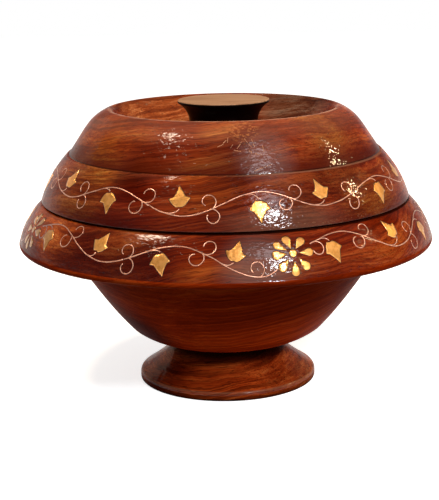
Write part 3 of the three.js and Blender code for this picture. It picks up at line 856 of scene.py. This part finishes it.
def make_lid():
    spigot_end = LID_BASE - SPIGOT_DEPTH
    hollow_side = (LID_HOLLOW_RADIUS, LID_CEILING - LID_HOLLOW_CORNER)
    hollow_top = (LID_HOLLOW_RADIUS - LID_HOLLOW_CORNER, LID_CEILING)
    seam_radius, dome_radius = LID_BASE_RADIUS - SEAM_DEPTH, LID_BAND_TOP_RADIUS - LEDGE_WIDTH
    inner_ridge = (RIDGE_RADIUS - RIDGE_WIDTH, RIDGE - RIDGE_FALL, 1.6)
    piece = turned("lid_turned", [
        (SCREW_HOLE_RADIUS, DISH_FLOOR), (SCREW_HOLE_RADIUS, LID_CEILING + SCREW_HEAD_DEPTH),
        (SCREW_HEAD_RADIUS, LID_CEILING + SCREW_HEAD_RIM), (SCREW_HEAD_RADIUS, LID_CEILING),
        hollow_top, *arc(hollow_top, hollow_side, -LID_HOLLOW_BULGE),
        (LID_HOLLOW_RADIUS, spigot_end, 0.5), (SPIGOT_RADIUS, spigot_end, 0.7), (SPIGOT_RADIUS, LID_BASE),
        (seam_radius, LID_BASE, 0.2), (seam_radius, LID_BASE + SEAM_HEIGHT, 0.2),
        (*lid_band.arc.at(SEAM_HEIGHT), 0.45), *lid_band.profile(2),
        (LID_BAND_TOP_RADIUS, LEDGE, 0.6), (dome_radius, LEDGE - 0.1, 0.12),
        (dome_radius - 0.2, LEDGE + 0.5, 0.2), (SHOULDER_RADIUS, SHOULDER, 4),
        *arc((SHOULDER_RADIUS, SHOULDER), (RIDGE_RADIUS, RIDGE, 1.6), RIDGE_BULGE),
        inner_ridge,
        *arc(inner_ridge, (DISH_FLOOR_RADIUS, DISH_FLOOR, 3), -DISH_HOLLOW),
        (SCREW_HOLE_RADIUS, DISH_FLOOR),
    ], lid_finish, lid_under_finish, closed=True)
    for face in piece.data.polygons:
        centre = face.center / MM
        radius = centre.xy.length
        under = radius < LID_BASE_RADIUS - 0.5 and centre.z < LID_BASE + SEAM_HEIGHT + 0.1
        hollow = radius < LID_HOLLOW_RADIUS + 0.1 and centre.z < LID_CEILING + 0.1
        face.material_index = 1 if under or hollow else 0
    dress(piece, "lid", "rosewood", "lid")


def make_knob():
    waist = (KNOB_WAIST_RADIUS, KNOB_BASE + KNOB_WAIST_HEIGHT, 1.5)
    rim = (KNOB_RADIUS, KNOB_TOP - KNOB_EDGE, 0.4)
    piece = turned("knob_turned", [
        (0, KNOB_BASE + SCREW_HOLE_TIP), (SCREW_HOLE_RADIUS, KNOB_BASE + SCREW_HOLE_DEPTH),
        (SCREW_HOLE_RADIUS, KNOB_BASE), (KNOB_BASE_RADIUS, KNOB_BASE, 0.5),
        *arc((KNOB_BASE_RADIUS, KNOB_BASE), waist, -KNOB_BASE_HOLLOW),
        *arc(waist, rim, -KNOB_HOLLOW),
        (KNOB_RADIUS, KNOB_TOP, 0.35), (0, KNOB_TOP),
    ], knob_wood())
    dress(piece, "lid", "knob_wood", "knob")


# Inlay


def quadratic(start, bend, end, count):
    """The points of a curve from start towards end, without the end."""
    start, bend, end = Vector(start), Vector(bend), Vector(end)
    points = []
    for i in range(count):
        t = i / count
        points.append(start.lerp(bend, t).lerp(bend.lerp(end, t), t))
    return points


def leaf_outline(rng):
    """An ivy leaf cut with a few straight strokes, its tip up and its notch at the origin."""
    def slip():
        return rng.uniform(-LEAF_SLIP, LEAF_SLIP)

    def half(side):
        return [(side * (x + slip()), y + slip(), reach) for x, y, reach in LEAF_CORNERS]

    tip = (slip(), LEAF_LENGTH, 0.3)
    outline = softened([(0, 0), *half(1), tip, *reversed(half(-1)), (0, 0)])
    return divided(outline, PLATE_STEP)[:-1]


def petal_outline(reach, width):
    """A petal along +X, pointed towards the eye, with a round end."""
    half = width / 2
    points = [Vector((reach - PETAL_LENGTH, 0))]
    for i in range(PETAL_END_STEPS + 1):
        turn = radians(-PETAL_END_TURN + 2 * PETAL_END_TURN * i / PETAL_END_STEPS)
        points.append(Vector((reach - half + half * cos(turn), half * sin(turn))))
    return divided([*points, points[0]], PLATE_STEP)[:-1]


def polar(reach, turn):
    return (reach * cos(turn), reach * sin(turn))


def round_outline(radius):
    return [Vector(polar(radius, 2 * pi * i / EYE_STEPS)) for i in range(EYE_STEPS)]


def turned_flat(outline, angle, grow=1.0):
    return [Matrix.Rotation(angle, 2) @ (point * grow) for point in outline]


def flat_plate(outline):
    """Vertices and faces of a bevelled flat plate, cut into squares so that it can be bent."""
    shell = bmesh.new()
    face = shell.faces.new([shell.verts.new((point.x, point.y, 0)) for point in outline])
    bmesh.ops.inset_region(shell, faces=[face], thickness=BRASS_BEVEL, depth=0.0, use_even_offset=True)
    for vertex in face.verts:
        vertex.co.z = BRASS_HEIGHT
    rim = [edge for edge in shell.edges if edge.is_boundary]
    skirt = bmesh.ops.extrude_edge_only(shell, edges=rim)["geom"]
    for vertex in (item for item in skirt if isinstance(item, bmesh.types.BMVert)):
        vertex.co.z = -BRASS_DEPTH
    for axis in ((1, 0, 0), (0, 1, 0)):
        reach = [vertex.co.dot(Vector(axis)) for vertex in shell.verts]
        cut = ceil(min(reach) / PLATE_STEP) * PLATE_STEP
        while cut < max(reach):
            everything = [*shell.verts, *shell.edges, *shell.faces]
            bmesh.ops.bisect_plane(shell, geom=everything, plane_co=Vector(axis) * cut, plane_no=axis)
            cut += PLATE_STEP
    shell.verts.index_update()
    vertices = [vertex.co.copy() for vertex in shell.verts]
    faces = [[vertex.index for vertex in face.verts] for face in shell.faces]
    shell.free()
    return vertices, faces


def bent_plate(name, outline, band, centre, seed):
    """A brass plate let into a band, very slightly uneven on top."""
    vertices, faces = flat_plate(outline)
    bent = []
    for vertex in vertices:
        dent = 0
        if vertex.z > 0:
            dent = BRASS_DENT * noise.noise(Vector((vertex.x / DENT_SIZE, vertex.y / DENT_SIZE, seed)))
        bent.append(band.place(*band.beside(centre, vertex.xy), vertex.z + dent))
    return new_object(name, bent, faces, brass)


class Strips:
    """Thin strips that lie in a band, gathered into one mesh."""

    def __init__(self, band):
        self.band = band
        self.vertices = []
        self.faces = []

    def add(self, places, section, closed=False):
        """A strip along places, with a section of (across, height) points."""
        count = len(places)
        first = len(self.vertices)
        for i, place in enumerate(places):
            before = places[i - 1] if i or closed else place
            after = places[(i + 1) % count] if i + 1 < count or closed else place
            way = self.band.between(before, after).normalized()
            for across, height in section:
                beside = self.band.beside(place, (-way.y * across, way.x * across))
                self.vertices.append(self.band.place(*beside, height))
        wide = len(section)
        for i in range(count if closed else count - 1):
            here, there = first + i * wide, first + (i + 1) % count * wide
            for k in range(wide - 1):
                self.faces.append([here + k, here + k + 1, there + k + 1, there + k])
        if not closed:
            self.faces.append([first + k for k in range(wide)])
            self.faces.append([first + (count - 1) * wide + k for k in reversed(range(wide))])

    def piece(self, name, material):
        return new_object(name, self.vertices, self.faces, material)


def wire_section(width):
    """A wire whose rounded top stands a little proud."""
    half = width / 2
    side = [(half, -WIRE_DEPTH), (half, 0.0), (0.72 * half, 0.075)]
    return [*side, (0, 0.10), *((-across, height) for across, height in reversed(side))]


def flat_section(width, height=GLUE_HEIGHT):
    half = width / 2
    return [(half, -GLUE_DEPTH), (half, height), (-half, height), (-half, -GLUE_DEPTH)]


class Vine:
    """A stem that swings between turning points (angle, height), with its curls, stalks and leaves."""

    def __init__(self, band, turns):
        self.band = band
        self.turns = turns

    def at(self, angle):
        for (start, low), (end, high) in zip(self.turns, self.turns[1:]):
            if angle <= end or end == self.turns[-1][0]:
                share = min(max((angle - start) / (end - start), 0), 1)
                return (angle, low + (high - low) * (1 - cos(pi * share)) / 2)
        raise ValueError("no turning points")

    def path(self, start, end):
        count = ceil((end - start) / STEM_STEP)
        return [self.at(start + (end - start) * i / count) for i in range(count + 1)]

    def way(self, angle):
        return self.band.between(self.at(angle - 0.5), self.at(angle + 0.5)).normalized()

    def curl(self, angle, side, back=CURL_BACK, size=1.0):
        """A spiral that leaves the stem and winds back over it, on its upper (1) or lower (-1) side."""
        way = self.way(angle)
        across = Vector((-way.y, way.x)) * side
        start = way * back - across * CURL_RISE
        centre = -start
        places = []
        for i in range(CURL_STEPS + 1):
            share = i / CURL_STEPS
            radius = 1 - (1 - CURL_END_RADIUS / start.length) * share ** 0.8
            turn = Matrix.Rotation(side * CURL_TURN * share, 2)
            places.append(self.band.beside(self.at(angle), (centre + turn @ start * radius) * size))
        return places

    def stalk(self, leaf_angle, notch, way):
        """From the stem to just short of the notch of a leaf."""
        root = leaf_angle - STALK_REACH / self.band.millimetres_per_degree(notch[1])
        start = self.at(root)
        to_notch = self.band.between(start, notch)
        bend = self.way(root) * (0.72 * to_notch.length)
        end = to_notch - Vector((0, way * STALK_STOP))
        offsets = [*quadratic((0, 0), bend, end, STALK_STEPS), end]
        return [self.band.beside(start, offset) for offset in offsets]


class Inlay:
    """All the metal of one band and the dark glue round it."""

    def __init__(self, band, body, prefix, rng, drift_seed):
        self.band = band
        self.body = body
        self.prefix = prefix
        self.rng = rng
        self.drift_seed = drift_seed
        self.glue = Strips(band)
        self.leaf_count = 0

    def wandered(self, place):
        """The place a little off, as a groove that is cut by hand wanders."""
        drift = noise.noise_vector(Vector((place[0] * 0.2, place[1] * 0.2, self.drift_seed)))
        return self.band.beside(place, drift.xy * WIRE_WANDER)

    def wires(self, name, paths, width, *nodes):
        strips = Strips(self.band)
        for path in paths:
            groove = [self.wandered(place) for place in path]
            strips.add(groove, wire_section(width))
            self.glue.add(groove, flat_section(width + WIRE_GLUE_WIDTH, GLUE_HEIGHT / 2))
        piece = strips.piece(name, copper_wire)
        dress(piece, self.body, "vine_metal", *nodes)

    def plate(self, name, outline, centre, slot, *nodes):
        piece = bent_plate(name, outline, self.band, centre, self.rng.uniform(0, 50))
        dress(piece, self.body, slot, *nodes)
        rim = [self.band.beside(centre, point) for point in outline]
        self.glue.add(rim, flat_section(2 * GLUE_WIDTH), closed=True)

    def leaf(self, node, centre, way, lean):
        """A leaf whose tip points up (1) or down (-1) and leans a few degrees, anticlockwise."""
        self.leaf_count += 1
        tilt = radians(lean) + (0 if way > 0 else pi)
        size = self.rng.uniform(0.95, 1.04)
        outline = turned_flat(leaf_outline(self.rng), tilt, size)
        notch = self.band.beside(centre, Matrix.Rotation(tilt, 2) @ Vector((0, -LEAF_LENGTH / 2)))
        self.plate(f"{self.prefix}_leaf_{self.leaf_count}", outline, notch, "vine_metal", node)
        return notch

    def spray(self, number, node, vine, start, end, curls, leaves):
        """One length of stem with its curls, stalks and leaves."""
        prefix = f"{self.prefix}_{number}"
        self.wires(f"{prefix}_stem", [vine.path(start, end)], WIRE_WIDTH, node)
        spirals = [
            vine.curl(angle, side, back, self.rng.uniform(0.92, 1.06))
            for angle, side, back in curls
        ]
        self.wires(f"{prefix}_curls", spirals, THIN_WIRE_WIDTH, node)
        stalks = []
        for angle, up, way, lean in leaves:
            notch = self.leaf(node, (angle, up), way, lean)
            stalks.append(vine.stalk(angle, notch, way))
        self.wires(f"{prefix}_stalks", stalks, THIN_WIRE_WIDTH, node)

    def flower(self, number, angle, petals):
        centre = (angle, FLOWER_HEIGHT)
        name = f"flower_{number}"
        self.plate(f"{name}_brass_eye", round_outline(EYE_RADIUS), centre, "brass", f"{name}_eye")
        for i, (direction, reach) in enumerate(petals, 1):
            outline = petal_outline(reach, self.rng.uniform(4.3, 4.8))
            outline = turned_flat(outline, radians(direction))
            self.plate(f"{name}_brass_petal_{i}", outline, centre, "brass", f"{name}_petal_{i}")

    def finish(self):
        dress(self.glue.piece(f"{self.prefix}_glue", glue), self.body, "rosewood")


def make_lid_inlay():
    """Eight waves of the vine, each with a leaf above and a leaf below. The front is set from the photo."""
    rng = random.Random(5)
    wave = 360 / LID_SPRAYS
    front_turns = [(-56, 13), (-37, 22.9), (-13, 9.7), (10.8, 22.9), (30, 11.9), (56, 22.4)]
    front_leaves = {
        0: [(-14, 20.7, 1, 5), (9.7, 11.2, -1, 1)],
        1: [(29.8, 22.1, 1, 11), (54.8, 12.4, -1, -9)],
        7: [(301, 24.2, 1, -7), (322.5, 13.5, -1, 10)],
    }
    turns = list(front_turns)
    for i in range(2, 7):
        for share, up, low, high in ((0.22, 11.6, -1.6, 1.2), (0.74, 22.8, -0.8, 0.8)):
            angle = LID_VINE_START + wave * (i + share) + rng.uniform(-1, 1)
            turns.append((angle, up + rng.uniform(low, high)))
    turns += [(angle + 360, up) for angle, up in front_turns[:3]]
    vine = Vine(lid_band, turns)
    inlay = Inlay(lid_band, "lid", "lid_vine", rng, drift_seed=8)
    for i in range(LID_SPRAYS):
        start = LID_VINE_START + wave * i
        rising, falling = start + 0.42 * wave, start + 0.94 * wave
        curls = [(rising, 1, 0.2), (rising, -1, 1.6), (falling, 1, -1.2), (falling, -1, 2)]
        leaves = front_leaves.get(i, [])
        if not leaves:
            for share, up, way in ((0.2, 21.4, 1), (0.7, 12.6, -1)):
                angle = start + share * wave + rng.uniform(-0.7, 0.7)
                leaves.append((angle, up + rng.uniform(-0.8, 0.8), way, rng.uniform(-10, 10)))
        inlay.spray(i + 1, f"lid_spray_{i + 1}", vine, start, start + wave - 0.1, curls, leaves)
    inlay.finish()


def make_brim_inlay():
    """Four flowers, and two lengths of vine from each flower to the next."""
    rng = random.Random(11)
    inlay = Inlay(brim_band, "bowl", "brim_vine", rng, drift_seed=9)
    front_petals = [
        (-1, 11.4), (49, 10.8), (106, 10.4), (148, 11.4),
        (-177, 11.5), (-133, 12.3), (-90, 12.4), (-50, 12.1),
    ]
    leaf_places = [(0.137, 11.8, -1), (0.395, 18.9, 1), (0.607, 8.6, -1), (0.831, 17.6, 1)]
    front_leans = {1: (13, 30), 7: (9, -19), 8: (13, -17)}
    for i, start in enumerate(FLOWER_ANGLES):
        end = FLOWER_ANGLES[(i + 1) % 4] + (360 if i == 3 else 0)
        span = end - start
        leave, meet = (
            brim_band.beside((angle, FLOWER_HEIGHT), polar(FLOWER_REACH, way))
            for angle, way in ((start, VINE_LEAVES_FLOWER), (end, VINE_MEETS_FLOWER))
        )
        vine = Vine(brim_band, [
            (start - 4, leave[1] - 8),
            (start + 0.17 * span, 23.4 + rng.uniform(-0.5, 0.5)),
            (start + 0.413 * span, 7.3 + rng.uniform(-0.6, 0.6)),
            (start + 0.655 * span, 19.5 + rng.uniform(-0.6, 0.6)),
            (start + 0.90 * span, 2.5 + rng.uniform(-0.3, 0.4)),
            (end + 2, meet[1] + 8),
        ])
        split = start + 0.485 * span
        curls = [(0.062, -1, -2.2), (0.893, 1, CURL_BACK)]
        curls += [(share, side, back) for share in (0.256, 0.73) for side, back in ((1, -1.2), (-1, 2))]
        curls += [(0.502, 1, 0), (0.502, -1, 2.4)]
        for half, (low, high) in enumerate(((leave[0], split), (split + 0.1, meet[0]))):
            number = 2 * i + half + 1
            near = [
                (start + share * span, side, back) for share, side, back in curls
                if low <= start + share * span < high
            ]
            leaves = []
            for k, (share, up, way) in enumerate(leaf_places[2 * half:2 * half + 2]):
                lean = front_leans[number][k] if number in front_leans else rng.uniform(-12, 12)
                leaves.append((start + share * span, up + rng.uniform(-0.4, 0.4), way, lean))
            inlay.spray(number, f"brim_spray_{number}", vine, low, high, near, leaves)
    for number, angle in enumerate(FLOWER_ANGLES, 1):
        petals = front_petals
        if number > 1:
            petals = [
                (turn + rng.uniform(-6, 6), reach + rng.uniform(-0.3, 0.3))
                for turn, reach in front_petals
            ]
        inlay.flower(number, angle, petals)
    inlay.finish()


def make_scratches():
    """Scratches and dents in the lacquer at the front of the dome."""
    wall = Band((LID_BAND_TOP_RADIUS - LEDGE_WIDTH - 0.2, LEDGE + 0.5), (SHOULDER_RADIUS, SHOULDER), 0.02)
    crown = Band((SHOULDER_RADIUS, SHOULDER), (RIDGE_RADIUS, RIDGE), RIDGE_BULGE)
    rng = random.Random(3)
    low, high = Strips(wall), Strips(crown)
    strokes = [
        (low, (-2.8, 16.4), (-0.6, 17.9), 0.5), (high, (-0.7, 0.2), (0.5, 2.0), 0.55),
        (high, (1.2, 3.7), (1.0, 0.6), 0.4), (high, (6.3, 0.8), (5.9, 0.2), 0.4),
        (low, (5.8, 17.9), (4.4, 15.1), 0.5), (low, (3.2, 14.3), (5.8, 13.4), 0.45),
        (high, (7.5, 2.8), (8.6, 0.2), 0.35), (low, (8.7, 17.9), (9.9, 15.6), 0.35),
        (high, (10.2, 2.4), (10.6, 0.2), 0.35), (low, (10.6, 17.9), (11.0, 15.6), 0.4),
        (low, (14.0, 16.5), (14.1, 12.4), 0.4), (low, (8.6, 13.5), (9.6, 13.2), 0.6),
        (low, (9.5, 13.3), (9.4, 12.0), 0.5), (low, (10.7, 12.0), (13.3, 10.6), 0.3),
        (low, (9.7, 1.6), (13.0, 3.4), 0.35), (low, (13.0, 3.4), (16.3, 4.9), 0.25),
        (low, (2.0, 15.5), (3.0, 17.8), 0.25),
    ]
    for strips, start, end, width in strokes:
        start, end = Vector(start), Vector(end)
        way = end - start
        middle = start.lerp(end, 0.5) + Vector((-way.y, way.x)) * rng.uniform(-0.04, 0.04)
        path = [*quadratic(start, middle, end, 8), end]
        strips.add([tuple(point) for point in path], flat_section(0.7 * width, 0.03))
    material = bare_scratch()
    for name, strips in (("dome_scratches_low", low), ("dome_scratches_high", high)):
        dress(strips.piece(name, material), "lid", "rosewood")


# Light, floor and camera

FLOOR_WIDTH = 6000
FLOOR_GLOW = 0.72  # keeps the floor white in the picture; the rest is the light that falls on it
CAMERA_LENS = 95.7
CAMERA_PLACE = (-3.9, -794.3, 265.2)
CAMERA_TILT = radians(76.8)
CAMERA_ROLL = radians(-1.0)


def make_lamp(name, azimuth, elevation, distance, size, watts, colour):
    """A soft area lamp that points at the lid. Azimuth 0 is towards the camera and grows to the right."""
    target = Vector((0, 0, 110)) * MM
    turn, rise = radians(azimuth), radians(elevation)
    way = Vector((sin(turn) * cos(rise), -cos(turn) * cos(rise), sin(rise)))
    light = bpy.data.lights.new(name, "AREA")
    light.shape = "DISK"
    light.size = size
    light.energy = watts
    light.color = colour
    lamp = bpy.data.objects.new(name, light)
    lamp.location = target + way * distance
    lamp.rotation_euler = way.to_track_quat("Z", "Y").to_euler()
    bpy.context.scene.collection.objects.link(lamp)


def make_world():
    s = Shader("studio", "World")
    bpy.context.scene.world = s.owner
    up = s.height(s.node("TexCoord", {}, output="Generated"))
    backdrop = s.ramp(s.step(up, 0.0, 0.16), [(0.0, (1.0, 1.0, 1.0)), (1.0, (0.14, 0.14, 0.15))])
    colour = s.mix(s.seen_directly(), (0.30, 0.295, 0.285, 1), backdrop)
    s.finish(s.node("Background", {"Color": colour, "Strength": 1.0}))


def make_floor():
    s = Shader("pale_floor")
    seen = s.seen_directly()
    colour = s.mix(seen, (0.16, 0.15, 0.14, 1), (0.97, 0.97, 0.97, 1))
    diffuse = s.node("BsdfDiffuse", {"Color": colour})
    glow = s.node("Emission", {"Color": (1, 1, 1, 1), "Strength": s.times(seen, FLOOR_GLOW)})
    material = s.finish(s.node("AddShader", {0: diffuse, 1: glow}))
    half = FLOOR_WIDTH / 2
    corners = [(-half, -half, 0), (half, -half, 0), (half, half, 0), (-half, half, 0)]
    floor = new_object("floor", corners, [[0, 1, 2, 3]], material)


def make_camera():
    camera = bpy.data.objects.new("camera", bpy.data.cameras.new("camera"))
    camera.data.lens = CAMERA_LENS
    camera.data.sensor_width = 36
    camera.location = Vector(CAMERA_PLACE) * MM
    camera.rotation_euler = (
        Matrix.Rotation(CAMERA_TILT, 3, "X") @ Matrix.Rotation(CAMERA_ROLL, 3, "Z")
    ).to_euler()
    bpy.context.scene.collection.objects.link(camera)
    bpy.context.scene.camera = camera


make_foot()
make_bowl()
make_lid()
make_knob()
make_lid_inlay()
make_brim_inlay()
make_scratches()
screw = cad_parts["knob_screw"]
screw.data.materials.clear()
screw.data.materials.append(brushed_steel())

make_world()
make_floor()
# Azimuth and elevation in degrees, distance and size in metres, watts, colour
make_lamp("front_lamp", 30.5, 33, 1.5, 0.19, 12.0, (0.92, 0.96, 1.0))
make_lamp("haze_lamp", 33, 47, 1.5, 0.45, 4.2, (0.94, 0.93, 1.0))
make_lamp("top_lamp", -80, 64, 1.5, 0.27, 12.8, (1.0, 0.82, 0.62))
make_lamp("rim_lamp", -140, 14, 1.6, 1.0, 2.0, (1.0, 0.76, 0.56))
make_lamp("side_lamp", 98, 30, 1.6, 0.075, 7.0, (1.0, 0.76, 0.42))
make_camera()
bpy.context.scene.view_settings.view_transform = "Standard"
